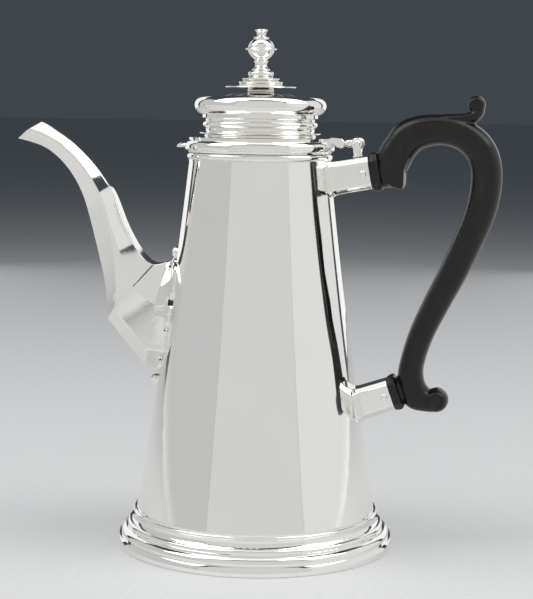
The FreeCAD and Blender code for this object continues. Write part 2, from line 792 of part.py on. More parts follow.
def make_lid_dome():
    """Cushion-shaped dome, an even skin pierced for the finial's stud."""
    body = new_body("lid_dome")
    hole = "stud_radius + stud_play"
    turn(body, "Shell", [
        ("dome_seat_radius - 2.9", "neck_top"),
        ("dome_seat_radius", "neck_top"),
        ("dome_radius", "dome_waist", 62),
        ("dome_radius - 3.6", "dome_crown - 2", 80),
        (hole, "dome_crown", 10),
        (hole, "dome_crown - dome_skin"),
        ("dome_radius - 3.9", "dome_crown - 2 - dome_skin", -10),
        ("dome_radius - dome_skin", "dome_waist", -80),
        ("dome_seat_radius - 1.2", "neck_top + dome_skin", -50),
        ("dome_seat_radius - 2.9", "neck_top + dome_skin"),
    ])


def make_lid_bezel():
    """Sleeve under the flange that drops into the body's rim."""
    body = new_body("lid_bezel")
    top = "flange_top - flange_thick"
    turn(body, "Sleeve", [
        ("bezel_radius - bezel_thick - bezel_taper", "lid_low - bezel_depth"),
        ("bezel_radius - bezel_taper", "lid_low - bezel_depth"),
        ("bezel_radius - bezel_gap", "lid_low"),
        ("bezel_radius - bezel_gap", top),
        ("bezel_radius - bezel_thick", top),
        ("bezel_radius - bezel_thick", "lid_low"),
    ])


def make_thumb_tab():
    """Rounded lifting tab on the spout side of the flange."""
    body = new_body("thumb_tab")
    sketch = draw(new_sketch(body, "Outline"), [
        ("-1 * flange_radius + 1", "lid_low + 4.2"), ("-1 * tab_reach + 1", "lid_low + 4.2"),
        ("-1 * tab_reach + 0.6", "lid_low + 2.0", 120),
        ("-1 * flange_radius + 1", "lid_low + 1.4", 20)])
    pad(body, sketch, "Tab", "tab_width")
    turn(body, "Tab_seat", flange_skin(), cut=True)


# ---------------------------------------------------------------- finial


def make_finial_plate():
    """Stepped button between the dome and the knop."""
    body = new_body("finial_plate")
    hole = "stud_radius + stud_play"
    turn(body, "Button", [
        (hole, "dome_crown"),
        ("4.8", "dome_crown"),
        ("5.0", "plate_top - 5.5", -60),
        ("plate_radius - 0.2", "plate_top - 4.7"),
        ("plate_radius - 0.2", "plate_top - 3.9", 150),
        ("9.4", "plate_top - 3.0"),
        ("6.2", "plate_top - 2.6"),
        ("8.4", "plate_top - 2.3"),
        ("8.4", "plate_top - 1.5", 150),
        ("5.4", "plate_top - 1.0"),
        ("6.7", "plate_top - 0.7"),
        ("6.7", "plate_top - 0.2", 150),
        ("5.2", "plate_top"),
        (hole, "plate_top"),
    ])


def make_finial():
    """Turned knop on a screwed stud."""
    body = new_body("finial")
    turn(body, "Knop", [
        ("0", "stud_end"),
        ("stud_radius - 0.3", "stud_end"),
        ("stud_radius", "stud_end + 0.3"),
        ("stud_radius", "plate_top"),
        ("4.4", "plate_top"),
        ("4.4", "plate_top + 2.2", 170),
        ("3.4", "plate_top + 2.4"),
        ("3.4", "plate_top + 3.3", 150),
        ("2.5", "plate_top + 4.4", -50),
        ("2.6", "plate_top + 5.6", -30),
        ("2.6", "plate_top + 6.6", 150),
        ("3.2", "plate_top + 7.4"),
        ("knop_radius - 0.9", "knop_height - 0.6", 50),
        ("knop_radius - 0.2", "knop_height - 0.5"),
        ("knop_radius - 0.2", "knop_height + 0.4", 160),
        ("knop_radius - 0.9", "knop_height + 0.6"),
        ("2.9", "finial_top - 4.3", 60),
        ("3.1", "finial_top - 4.1"),
        ("3.1", "finial_top - 3.5", 140),
        ("1.9", "finial_top - 2.9", -60),
        ("2.6", "finial_top - 1.0", -60),
        ("2.2", "finial_top - 0.3", 80),
        ("0.8", "finial_top", 20),
        ("0", "finial_top"),
    ])


def make_washer():
    body = new_body("finial_washer")
    top = "dome_crown - dome_skin - nut_gap"
    turn(body, "Disc", [
        ("stud_radius + 2 * stud_play", top + " - washer_thick"),
        ("washer_radius", top + " - washer_thick"),
        ("washer_radius", top + " - 0.2"),
        ("stud_radius + 2 * stud_play", top),
    ])


def make_nut():
    """Hexagonal nut on the stud, screwed up against the washer."""
    body = new_body("finial_nut")
    low = "dome_crown - dome_skin - nut_gap - washer_thick - nut_height"
    sketch = new_sketch(body, "Hexagon", "XY_Plane", ("0", "0", low, "0"))
    corner = "nut_flat / sqrt(3)"
    draw(sketch, [("%s * %.6f" % (corner, math.cos(math.radians(60 * number))),
                   "%s * %.6f" % (corner, math.sin(math.radians(60 * number))))
                  for number in range(6)])
    draw_circle(sketch, "0", "0", "stud_radius + pin_fit")
    feature = body.newObject("PartDesign::Pad", "Nut")
    feature.Profile = sketch
    feature.setExpression("Length", bound("nut_height"))


# ---------------------------------------------------------------- build and write


def build():
    make_body_wall()
    make_body_floor()
    make_foot_moulding()
    make_foot_rim_band()
    make_rim_moulding()
    make_spout()
    make_spout_plate()
    make_spout_drop()
    make_socket("upper")
    make_socket_plate("upper", "body_top - collar_tall / 2 - 0.1", "collar_tall", "collar_wide")
    make_socket("lower")
    make_socket_plate("lower", "61.4", "collar_tall + 2", "collar_wide + 4")
    make_handle()
    make_handle_pin("upper")
    make_handle_pin("lower")
    make_hinge_post()
    make_hinge_pin()
    make_hinge_arm()
    make_lid_flange()
    make_lid_neck()
    make_lid_dome()
    make_lid_bezel()
    make_thumb_tab()
    make_finial_plate()
    make_finial()
    make_washer()
    make_nut()


def check_and_write():
    DOC.recompute()
    for item in DOC.Objects:
        if "Invalid" in item.State or "Error" in item.State:
            raise RuntimeError("%s failed: %s" % (item.Label, item.State))
    os.makedirs("parts", exist_ok=True)
    bodies = [item for item in DOC.Objects if item.TypeId == "PartDesign::Body"]
    for body in bodies:
        shape = body.Shape
        if shape.isNull() or not shape.isValid():
            raise RuntimeError(body.Label + " has no valid shape")
        print("%-22s %9.1f mm3 %d solid(s)" % (body.Label, shape.Volume, len(shape.Solids)))
        shape.exportStep(os.path.join("parts", body.Label + ".step"))


build()
check_and_write()
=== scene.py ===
import math

import bmesh
import bpy
from mathutils import Matrix, Vector


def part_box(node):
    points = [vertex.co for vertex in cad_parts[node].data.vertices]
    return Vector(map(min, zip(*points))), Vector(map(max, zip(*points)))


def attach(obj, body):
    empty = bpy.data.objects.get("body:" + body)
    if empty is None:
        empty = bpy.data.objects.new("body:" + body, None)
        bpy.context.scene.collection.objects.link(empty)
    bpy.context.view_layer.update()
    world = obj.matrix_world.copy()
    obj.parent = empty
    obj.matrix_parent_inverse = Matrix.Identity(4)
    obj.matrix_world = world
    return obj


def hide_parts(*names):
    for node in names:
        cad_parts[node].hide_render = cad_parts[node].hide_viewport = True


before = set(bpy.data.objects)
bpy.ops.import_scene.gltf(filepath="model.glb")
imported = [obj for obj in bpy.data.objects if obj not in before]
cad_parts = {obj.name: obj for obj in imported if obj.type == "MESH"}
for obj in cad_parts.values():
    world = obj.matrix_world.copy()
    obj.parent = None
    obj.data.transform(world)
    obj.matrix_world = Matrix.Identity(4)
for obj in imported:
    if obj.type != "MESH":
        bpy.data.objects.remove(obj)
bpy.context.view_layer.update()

# A silver coffee pot with a faceted spout, a domed lid and an ebony scroll handle.
# Shapes are written in millimetres in the frame's own axes and turned into metres by MM.

MM = 0.001
TURN_STEPS = 240
# Edges that turn by more than this stay sharp.
SHARP_ANGLE = math.radians(38)


def node_mm(node):
    """Lowest and highest corner of a CAD node, in millimetres."""
    low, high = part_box(node)
    return low / MM, high / MM


# ---------------------------------------------------------------- curves and meshes


def smooth_line(points, count):
    """Points of a Catmull-Rom curve through points of any dimension, evenly spread by span."""
    ends = [[2 * a - b for a, b in zip(points[0], points[1])],
            [2 * a - b for a, b in zip(points[-1], points[-2])]]
    knots = [ends[0]] + [list(point) for point in points] + [ends[1]]
    line = []
    for step in range(count):
        place = step / (count - 1) * (len(points) - 1)
        index = min(int(place), len(points) - 2)
        part = place - index
        before, start, finish, after = knots[index:index + 4]
        line.append([
            0.5 * (2 * b + (c - a) * part + (2 * a - 5 * b + 4 * c - d) * part ** 2
                   + (3 * b - a - 3 * c + d) * part ** 3)
            for a, b, c, d in zip(before, start, finish, after)])
    return line


def rounded(corners, radius, steps=4):
    """A closed polygon of 2-D corners with each corner rounded off."""
    outline = []
    for index, corner in enumerate(corners):
        before = Vector(corners[index - 1])
        after = Vector(corners[(index + 1) % len(corners)])
        corner = Vector(corner)
        back, ahead = before - corner, after - corner
        start = corner + back.normalized() * min(radius, back.length * 0.4)
        finish = corner + ahead.normalized() * min(radius, ahead.length * 0.4)
        for step in range(steps + 1):
            part = step / steps
            outline.append(start * (1 - part) ** 2 + corner * 2 * part * (1 - part)
                           + finish * part ** 2)
    return outline


def skin(name, rings, closed=False, caps=True):
    """A mesh over rings of points in millimetres; closed joins the last ring to the first."""
    mesh = bmesh.new()
    layers = [[mesh.verts.new(Vector(point) * MM) for point in ring] for ring in rings]
    pairs = list(zip(layers, layers[1:])) + ([(layers[-1], layers[0])] if closed else [])
    for low, high in pairs:
        for index in range(len(low)):
            following = (index + 1) % len(low)
            mesh.faces.new((low[index], low[following], high[following], high[index]))
    if caps and not closed:
        mesh.faces.new(list(reversed(layers[0])))
        mesh.faces.new(layers[-1])
    bmesh.ops.recalc_face_normals(mesh, faces=mesh.faces)
    return finished(name, mesh)


def finished(name, mesh):
    """Make an object of a bmesh, shaded smooth between its sharp edges."""
    data = bpy.data.meshes.new(name)
    mesh.to_mesh(data)
    mesh.free()
    data.shade_smooth()
    data.set_sharp_from_angle(angle=SHARP_ANGLE)
    piece = bpy.data.objects.new(name, data)
    bpy.context.scene.collection.objects.link(piece)
    return piece


def joined(name, parts):
    """One object of several."""
    context = {"active_object": parts[0], "selected_editable_objects": parts,
               "object": parts[0], "selected_objects": parts}
    with bpy.context.temp_override(**context):
        bpy.ops.object.join()
    parts[0].name = parts[0].data.name = name
    return parts[0]


def placed(piece, body, slot, material, *nodes):
    """Give a piece its material and its place in the frame."""
    piece.data.materials.clear()
    piece.data.materials.append(material)
    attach(piece, body)
    if nodes:
        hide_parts(*nodes)
    return piece


def bulge(start, finish, span, steps=12):
    """Points after start on an arc to finish; a positive span in degrees bulges to the right."""
    start, finish = Vector(start), Vector(finish)
    if not span:
        return [finish]
    chord = finish - start
    half = math.radians(abs(span)) / 2
    normal = Vector((-chord.y, chord.x)).normalized()
    radius = chord.length / 2 / math.sin(half)
    centre = (start + finish) / 2 + normal * math.copysign(radius * math.cos(half), span)
    return [centre + Matrix.Rotation(math.radians(span) * step / steps, 2) @ (start - centre)
            for step in range(1, steps + 1)]


def turned(name, corners):
    """A ring turned about the pot's axis from (radius, height, span of the arc to it) corners."""
    outline = []
    for (*start, _), (*finish, span) in zip(corners[-1:] + corners[:-1], corners):
        outline += bulge(start, finish, span)
    turns = [2 * math.pi * side / TURN_STEPS for side in range(TURN_STEPS)]
    return skin(name, [[(point.x * math.cos(turn), point.x * math.sin(turn), point.y)
                        for turn in turns] for point in outline], closed=True)


def even_normals(piece):
    """Keep broad faces flat-looking beside their narrow rounded edges."""
    modifier = piece.modifiers.new("even_normals", "WEIGHTED_NORMAL")
    modifier.keep_sharp = True
    return piece


# ---------------------------------------------------------------- materials


def new_material(name):
    material = bpy.data.materials.new(name)
    material.use_nodes = True
    tree = material.node_tree
    return material, tree, tree.nodes["Principled BSDF"]


def add_node(tree, kind, **settings):
    node = tree.nodes.new(kind)
    for key, setting in settings.items():
        setattr(node, key, setting)
    return node


def noise(tree, vector, scale, detail, stretch=(1, 1, 1)):
    """A noise texture on object coordinates, drawn out along the axes by stretch."""
    mapping = add_node(tree, "ShaderNodeMapping")
    mapping.inputs["Scale"].default_value = stretch
    texture = add_node(tree, "ShaderNodeTexNoise")
    texture.inputs["Scale"].default_value = scale
    texture.inputs["Detail"].default_value = detail
    tree.links.new(vector, mapping.inputs["Vector"])
    tree.links.new(mapping.outputs["Vector"], texture.inputs["Vector"])
    return texture.outputs["Fac"]


def ramp(tree, factor, stops):
    node = add_node(tree, "ShaderNodeValToRGB")
    elements = node.color_ramp.elements
    while len(elements) < len(stops):
        elements.new(0.5)
    for element, (position, colour) in zip(elements, stops):
        element.position = position
        element.color = (*colour, 1)
    tree.links.new(factor, node.inputs["Fac"])
    return node.outputs["Color"]


def ranged(tree, factor, low, high, start=0.0, end=1.0):
    node = add_node(tree, "ShaderNodeMapRange", clamp=True)
    node.inputs["From Min"].default_value = start
    node.inputs["From Max"].default_value = end
    node.inputs["To Min"].default_value = low
    node.inputs["To Max"].default_value = high
    tree.links.new(factor, node.inputs["Value"])
    return node.outputs["Result"]


def bump(tree, height, depth, strength, below=None):
    node = add_node(tree, "ShaderNodeBump")
    node.inputs["Distance"].default_value = depth
    node.inputs["Strength"].default_value = strength
    tree.links.new(height, node.inputs["Height"])
    if below is not None:
        tree.links.new(below, node.inputs["Normal"])
    return node.outputs["Normal"]


def silver_material(name, waviness, scratch, stretch):
    """Polished silver: a hand-worked waviness, hairline marks and patches of faint tarnish."""
    material, tree, shader = new_material(name)
    place = add_node(tree, "ShaderNodeTexCoord").outputs["Object"]
    patches = noise(tree, place, 38, 4)
    colour = ramp(tree, patches, [(0.3, (0.955, 0.945, 0.915)), (0.75, (0.93, 0.912, 0.865))])
    marks = noise(tree, place, 900, 3, stretch)
    waves = noise(tree, place, 26, 2, (1, 1, 0.5))
    normal = bump(tree, waves, 0.0006, waviness)
    normal = bump(tree, marks, 0.00002, scratch, normal)
    tree.links.new(colour, shader.inputs["Base Color"])
    tree.links.new(ranged(tree, patches, 0.035, 0.075, 0.3, 0.7), shader.inputs["Roughness"])
    tree.links.new(normal, shader.inputs["Normal"])
    shader.inputs["Metallic"].default_value = 1.0
    return material


def painted_shade_material():
    """Near-black silver that paints the shade in the hollows where the escutcheon's lobes meet."""
    material, tree, shader = new_material("painted_shade_silver")
    place = add_node(tree, "ShaderNodeTexCoord").outputs["Object"]
    patches = noise(tree, place, 700, 4)
    colour = ramp(tree, patches, [(0.35, (0.012, 0.011, 0.01)), (0.62, (0.05, 0.045, 0.035)),
                                  (0.8, (0.32, 0.3, 0.26))])
    tree.links.new(colour, shader.inputs["Base Color"])
    tree.links.new(ranged(tree, patches, 0.5, 0.25, 0.3, 0.7), shader.inputs["Roughness"])
    tree.links.new(bump(tree, patches, 0.00015, 0.6), shader.inputs["Normal"])
    shader.inputs["Metallic"].default_value = 0.8
    return material


def ebony_material():
    """Oiled ebony: near black with drawn-out brown grain and worn, satin pores."""
    material, tree, shader = new_material("ebony")
    place = add_node(tree, "ShaderNodeTexCoord").outputs["Object"]
    grain = noise(tree, place, 420, 6, (1, 1, 0.16))
    patches = noise(tree, place, 55, 3)
    colour = ramp(tree, grain, [(0.38, (0.0022, 0.002, 0.0019)), (0.62, (0.0065, 0.005, 0.004)),
                                (0.8, (0.022, 0.016, 0.011))])
    normal = bump(tree, patches, 0.0003, 0.25)
    normal = bump(tree, grain, 0.00008, 0.35, normal)
    tree.links.new(colour, shader.inputs["Base Color"])
    tree.links.new(ranged(tree, patches, 0.2, 0.36, 0.3, 0.7), shader.inputs["Roughness"])
    tree.links.new(normal, shader.inputs["Normal"])
    shader.inputs["Specular IOR Level"].default_value = 0.42
    return material


# ---------------------------------------------------------------- spout

# Side view of the spout from its mouth to its chin and root: the upper edge, the lower edge,
# the half width, where the two ridges of each side lie as shares of the way down it, and how
# wide the flat along the top is as a share of the spout's width.
SPOUT_LINE = [
    ((-94.2, 177.5), (-104.8, 170.2), 6.4, 0.44, 0.55, 0.38),
    ((-91.6, 176.3), (-99.4, 168.9), 5.9, 0.43, 0.54, 0.35),
    ((-87.1, 173.4), (-93.6, 166.9), 5.4, 0.41, 0.52, 0.34),
    ((-82.7, 170.5), (-88.6, 163.7), 5.2, 0.38, 0.49, 0.37),
    ((-77.5, 166.2), (-84.0, 159.3), 5.4, 0.36, 0.43, 0.39),
    ((-71.9, 160.6), (-79.6, 153.4), 5.9, 0.35, 0.40, 0.39),
    ((-66.8, 154.2), (-76.1, 146.6), 6.4, 0.35, 0.40, 0.41),
    ((-62.3, 146.8), (-73.6, 139.2), 6.9, 0.35, 0.40, 0.42),
    ((-57.7, 135.2), (-70.4, 127.6), 7.9, 0.35, 0.46, 0.43),
    ((-53.9, 127.6), (-68.0, 118.4), 9.0, 0.36, 0.54, 0.43),
    ((-50.6, 122.6), (-66.1, 110.6), 10.1, 0.36, 0.62, 0.43),
    ((-47.8, 119.6), (-64.9, 102.6), 11.1, 0.37, 0.68, 0.42),
    ((-45.4, 118.3), (-64.6, 95.4), 11.8, 0.38, 0.73, 0.42),
    ((-44.7, 118.1), (-64.4, 93.8), 11.9, 0.38, 0.75, 0.42),
    ((-44.0, 118.0), (-63.3, 92.8), 12.0, 0.38, 0.77, 0.42),
    ((-41.4, 118.4), (-55.6, 83.6), 12.4, 0.38, 0.79, 0.42),
    ((-38.6, 119.3), (-46.8, 74.0), 12.8, 0.38, 0.82, 0.42),
]
SPOUT_WALL = 1.0
LOW_FLAT = 0.42


def spout_section(upper, lower, half_width, high_ridge, low_ridge, top_flat, edge=0.45,
                  inset=0.0):
    """An octagonal section across the spout, as points round its outline."""
    upper, lower = Vector(upper), Vector(lower)
    depth = (upper - lower).length
    shrink = inset / depth
    wide = half_width - inset
    corners = [(shrink, wide * top_flat), (high_ridge, wide), (low_ridge, wide),
               (1 - shrink, wide * LOW_FLAT)]
    corners += [(along, -side) for along, side in reversed(corners)]
    outline = rounded([(along * depth, side) for along, side in corners], edge)
    points = []
    for along, side in outline:
        across, height = upper + (lower - upper) * (along / depth)
        points.append((across, side, height))
    return points


def spout_rings(stations, count, inset=0.0):
    flat_list = [(*upper, *lower, *sizes) for upper, lower, *sizes in stations]
    return [spout_section(values[0:2], values[2:4], *values[4:], inset=inset)
            for values in smooth_line(flat_list, count)]


def make_spout(material):
    horn = spout_rings(SPOUT_LINE, 150)
    bore = spout_rings(SPOUT_LINE, 90, SPOUT_WALL)
    piece = skin("spout_horn", list(reversed(horn)) + bore, closed=True)
    return placed(even_normals(piece), "pot", "silver", material, "spout")


# ---------------------------------------------------------------- escutcheon under the spout

BODY_FOOT, BODY_TOP = (50.8, 15.4), (29.7, 162.4)
BODY_DRAW = 1.17
PLATE_CENTRE = 97.5
PLATE_LIP = 1.5
# Half of the scalloped edge: sideways, height and how far the lobe to this point swells.
PLATE_EDGE = [
    (0.0, 124.6, 0), (2.6, 122.6, 0.9), (3.4, 119.6, -0.4), (9.6, 119.6, 1.6), (15.6, 111.6, 2.2),
    (15.4, 104.6, 1.0), (11.0, 102.6, -0.6), (15.0, 97.6, 1.8), (13.6, 91.8, 1.2),
    (9.6, 90.4, -0.6), (12.0, 84.6, 1.6), (9.4, 79.4, 1.0), (5.6, 78.0, -0.5), (6.2, 73.4, 1.2),
    (0.0, 69.9, 1.0),
]
# Near-black spots of painted shade where the lobes meet: sideways, height, how far they stand and
# reach.
SHADE_SPOTS = [(4.0, 118.6, 0.9, 1.3), (12.6, 101.4, 0.95, 2.6), (11.8, 91.0, 0.8, 0.9),
        (8.4, 79.0, 1.1, 1.6)]
FLUTES = 18
PLATE_TURNS, PLATE_STEPS = 360, 20
# The least width of the plate beyond the spout's root.
PLATE_MARGIN = 0.6
# Near the root the scallops are evened out over this many turns to each side.
PLATE_CALM = 16


def body_radius(height):
    """Radius of the body's drawn-in taper at a height."""
    part = (height - BODY_FOOT[1]) / (BODY_TOP[1] - BODY_FOOT[1])
    straight = BODY_FOOT[0] + (BODY_TOP[0] - BODY_FOOT[0]) * part
    return straight - 4 * BODY_DRAW * part * (1 - part)


def body_skin(side, height):
    """Where the body's surface lies along X, on the spout's side."""
    return -math.sqrt(body_radius(height) ** 2 - side ** 2)


def lobed(edge, steps=8):
    """The whole edge from half of it, each lobe a shallow curve that swells outwards."""
    half = [Vector(edge[0][:2])]
    for (*start, _), (*finish, swell) in zip(edge, edge[1:]):
        start, finish = Vector(start), Vector(finish)
        outwards = Vector((start.y - finish.y, finish.x - start.x)).normalized()
        for step in range(1, steps + 1):
            part = step / steps
            half.append(start.lerp(finish, part) + outwards * swell * 4 * part * (1 - part))
    return half + [Vector((-point.x, point.y)) for point in reversed(half[1:-1])]


def reach(outline, angle):
    """How far a closed outline lies from the plate's centre in a direction."""
    ray = Vector((math.sin(angle), math.cos(angle)))
    best = 0.0
    for start, finish in zip(outline, outline[1:] + outline[:1]):
        start = start - Vector((0, PLATE_CENTRE))
        side = finish - Vector((0, PLATE_CENTRE)) - start
        turn = ray.x * side.y - ray.y * side.x
        if abs(turn) > 1e-9:
            distance = (start.x * side.y - start.y * side.x) / turn
            share = (start.x * ray.y - start.y * ray.x) / turn
            if distance > 0 and -1e-6 <= share <= 1 + 1e-6:
                best = max(best, distance)
    return best


def make_spout_plate(material, dark):
    """A fluted flare that spreads from the root of the spout to a scalloped edge on the body."""
    (top_across, top_height), (low_across, low_height) = SPOUT_LINE[-1][:2]
    root = [Vector((side, height)) for _, side, height in spout_section(*SPOUT_LINE[-1])]
    edge = lobed(PLATE_EDGE)
    turns = [2 * math.pi * step / PLATE_TURNS for step in range(PLATE_TURNS)]
    inner = [reach(root, turn) - 0.3 for turn in turns]
    outer = [max(reach(edge, turn), near + PLATE_MARGIN) for turn, near in zip(turns, inner)]
    even = [sum(outer[(index + shift) % PLATE_TURNS]
                for shift in range(-PLATE_CALM, PLATE_CALM + 1)) / (2 * PLATE_CALM + 1)
            for index in range(PLATE_TURNS)]
    rings = []
    for step in range(PLATE_STEPS + 1):
        spread = step / PLATE_STEPS
        rise = (1 - spread) ** 2.2
        ring = []
        for turn, near, far, calm in zip(turns, inner, outer, even):
            edge_here = max(calm + (far - calm) * spread ** 4, near + PLATE_MARGIN)
            distance = near + (edge_here - near) * spread
            side, height = distance * math.sin(turn), PLATE_CENTRE + distance * math.cos(turn)
            root_height = PLATE_CENTRE + near * math.cos(turn)
            root_part = (top_height - root_height) / (top_height - low_height)
            root_across = top_across + (low_across - top_across) * root_part
            root_skin = body_skin(near * math.sin(turn), root_height)
            ripple = (0.5 * math.sin(math.pi * spread) * abs(math.sin(FLUTES / 2 * turn))
                      * max(0.0, math.cos(turn)) ** 0.4)
            lip = PLATE_LIP * (1 - max(0.0, spread - 0.9) * 4)
            lift = lip + (root_skin - root_across - lip) * rise - ripple
            ring.append((body_skin(side, height) - lift, side, height))
        rings.append(ring)
    for spread in (1.0, 0.0):
        ring = []
        for turn, near, far in zip(turns, inner, outer):
            distance = near + (far - near) * spread
            side, height = distance * math.sin(turn), PLATE_CENTRE + distance * math.cos(turn)
            ring.append((body_skin(side, height) + 0.1, side, height))
        rings.append(ring)
    crown = body_radius(PLATE_EDGE[1][1]) + 1.1
    parts = [skin("flare", rings, closed=True), bead("curl", (-crown, 0, 122.9), (1.7, 2.7, 2.7))]
    piece = joined("spout_escutcheon", parts)
    placed(piece, "pot", "silver", material, "spout_plate")
    # Near-black beads at the cusps paint the shade in the hollows between the lobes.
    shade_spots = []
    for side, height, deep, tall in SHADE_SPOTS:
        for across in (-side, side):
            centre = (body_skin(side, height) - 0.5, across, height)
            shade_spots.append(bead("shade_spot", centre, (deep, 1.5, tall)))
    return placed(joined("escutcheon_painted_shade", shade_spots), "pot", "silver", dark, "spout_plate")


def make_spout_drop(material):
    """A faceted pendant that tapers to a point under the escutcheon."""
    low, high = node_mm("spout_drop")
    rings = []
    for share, across, deep, wide in ((0.0, -42.6, 2.6, 3.3), (0.12, -42.9, 3.4, 3.6),
                                      (0.3, -43.0, 3.0, 3.1), (0.6, -43.7, 2.0, 2.0),
                                      (0.97, -44.0, 0.5, 0.5)):
        height = high.z + (low.z - high.z) * share
        rings.append([(across + deep * math.cos(turn), wide * math.sin(turn), height)
                      for turn in (2 * math.pi * side / 8 for side in range(8))])
    piece = skin("pendant_drop", rings)
    return placed(piece, "pot", "silver", material, "spout_drop")


def bead(name, centre, radii, steps=24, sides=32):
    """A rounded bead with its poles along X."""
    rings = []
    for step in range(1, steps):
        turn = math.pi * step / steps
        size = math.sin(turn)
        rings.append([Vector(centre) + Vector((-math.cos(turn) * radii[0],
                                               size * radii[1] * math.cos(angle),
                                               size * radii[2] * math.sin(angle)))
                      for angle in (2 * math.pi * side / sides for side in range(sides))])
    return skin(name, rings)


# ---------------------------------------------------------------- handle

# The scroll: across, height, lean of the section from the vertical, half depth, half width.
SCROLL = [
    (50.0, 159.3, -79.8, 7.0, 6.6),
    (51.4, 159.7, -78.0, 7.6, 7.2),
    (52.8, 160.6, -74.0, 8.6, 7.8),
    (54.8, 162.6, -69.0, 9.0, 8.0),
    (57.3, 166.0, -60.0, 8.4, 8.0),
    (60.8, 171.6, -62.0, 7.9, 8.0),
    (66.6, 175.4, -76.0, 6.9, 8.0),
    (75.6, 176.6, -92.0, 6.3, 8.0),
    (84.4, 174.6, -116.0, 6.3, 8.0),
    (91.0, 169.3, -140.0, 6.5, 8.0),
    (94.1, 161.6, -168.0, 6.5, 7.9),
    (94.1, 151.8, -184.0, 6.5, 7.8),
    (91.6, 140.8, -199.0, 6.3, 7.6),
    (86.8, 128.8, -205.0, 6.0, 7.4),
    (81.3, 116.6, -205.0, 5.8, 7.2),
    (75.4, 104.8, -205.0, 5.5, 7.0),
    (69.5, 91.8, -201.0, 5.2, 6.9),
    (65.9, 79.6, -190.0, 5.1, 6.8),
    (65.6, 71.4, -176.0, 5.6, 6.7),
    (68.2, 65.6, -140.0, 6.0, 6.5),
    (72.6, 63.8, -104.0, 4.7, 6.3),
    (76.6, 64.3, -92.0, 5.2, 6.1),
]
# The thumb piece that leaves the top of the scroll and ends in a small curl.
THUMB = [
    (66.0, 177.5, -80.0, 3.6, 6.4),
    (75.5, 180.2, -88.0, 2.7, 6.2),
    (84.0, 181.2, -84.0, 2.2, 5.6),
    (88.8, 182.2, -62.0, 2.4, 5.0),
    (91.0, 184.9, -22.0, 2.1, 4.6),
    (90.0, 187.6, 30.0, 1.9, 4.4),
]
HANDLE_VOXEL, HINGE_VOXEL = 0.45, 0.16


def oval(across, height, lean, half_deep, half_wide, power=2.5, steps=40):
    """A rounded, slightly squared section square to a direction in the side plane."""
    turn = math.radians(lean)
    axis = Vector((math.cos(turn), 0, math.sin(turn)))
    points = []
    for step in range(steps):
        angle = 2 * math.pi * step / steps
        deep, wide = math.cos(angle), math.sin(angle)
        deep = math.copysign(abs(deep) ** (2 / power), deep) * half_deep
        wide = math.copysign(abs(wide) ** (2 / power), wide) * half_wide
        points.append(Vector((across, 0, height)) + axis * deep + Vector((0, wide, 0)))
    return points


def scroll_mesh(name, stations, count):
    return skin(name, [oval(*values) for values in smooth_line(stations, count)])


def turned_knob(name, across, height, radius, half_wide):
    """The rounded end of a curl, lying along Y."""
    rings = []
    for step in range(1, 12):
        side = math.cos(math.pi * step / 12)
        ring_radius = radius * math.sin(math.pi * step / 12) ** 0.35
        rings.append([(across + ring_radius * math.cos(math.pi * turn / 20), side * half_wide,
                       height + ring_radius * math.sin(math.pi * turn / 20)) for turn in range(40)])
    return skin(name, rings)


def shoulder(name, across, height, lean, half_deep, half_wide, profile, edge=1.2, steps=18,
             flat=0.5):
    """A moulded collar along a socket's axis; profile is (distance, growth) pairs."""
    turn = math.radians(lean)
    out = Vector((math.sin(turn), 0, math.cos(turn)))
    up = Vector((-math.cos(turn), 0, math.sin(turn)))
    rings = []
    for distance, growth in smooth_line(profile, steps):
        corners = []
        for deep_sign, wide_sign in ((1, 1), (-1, 1), (-1, -1), (1, -1)):
            ends = [(1, flat), (flat, 1)]
            if deep_sign * wide_sign < 0:
                ends.reverse()
            corners += [(deep_sign * deep * (half_deep + growth),
                         wide_sign * wide * (half_wide + growth)) for deep, wide in ends]
        centre = Vector((across, 0, height)) + out * distance
        rings.append([centre + up * deep + Vector((0, wide, 0))
                      for deep, wide in rounded(corners, edge)])
    return skin(name, rings)


def carved(name, parts, voxel):
    """Merge overlapping solids into one carved solid with softened joins."""
    whole = joined(name, parts)
    remesh = whole.modifiers.new("merge", "REMESH")
    remesh.mode = "VOXEL"
    remesh.voxel_size = voxel * MM
    soften = whole.modifiers.new("soften", "SMOOTH")
    soften.factor = 0.6
    soften.iterations = 5
    graph = bpy.context.evaluated_depsgraph_get()
    data = bpy.data.meshes.new_from_object(whole.evaluated_get(graph))
    data.name = name
    whole.modifiers.clear()
    whole.data = data
    data.shade_smooth()
    return whole


# Where the handle leaves each socket: across, height, lean, half depth and half width.
UPPER_MOUTH = (46.7, 158.55, 79.8, 6.75, 6.8)
LOWER_MOUTH = (57.4, 66.2, 70.2, 6.5, 6.8)


def make_socket(which, mouth, seat, material):
    """A faceted tube that flares where it is soldered to the body, a distance seat back."""
    profile = [(seat - 1.6, 1.1), (seat - 0.2, 1.0), (seat + 0.8, 0.9), (seat + 1.6, 0.5),
               (seat + 3.0, 0.2), (seat + 8.0, 0.1), (-0.5, 0.0), (-0.15, 0.0), (0.0, -0.25)]
    piece = shoulder(which + "_tube", *mouth, profile, edge=0.45, steps=60, flat=0.68)
    return placed(even_normals(piece), "pot", "silver", material,
                  which + "_socket", which + "_socket_plate")


def strap(name, corners, half_wide, edge=0.5):
    """A flat bar that lies along Y, cut to an outline in the side plane."""
    outline = rounded(corners, edge)
    centre = sum(outline, Vector((0, 0))) / len(outline)
    rings = []
    for side, shrink in ((-1.0, 0.86), (-0.93, 0.96), (-0.8, 1.0), (0.8, 1.0), (0.93, 0.96),
                         (1.0, 0.86)):
        rings.append([(centre.x + (point.x - centre.x) * shrink, side * half_wide,
                       centre.y + (point.y - centre.y) * shrink) for point in outline])
    return skin(name, rings)


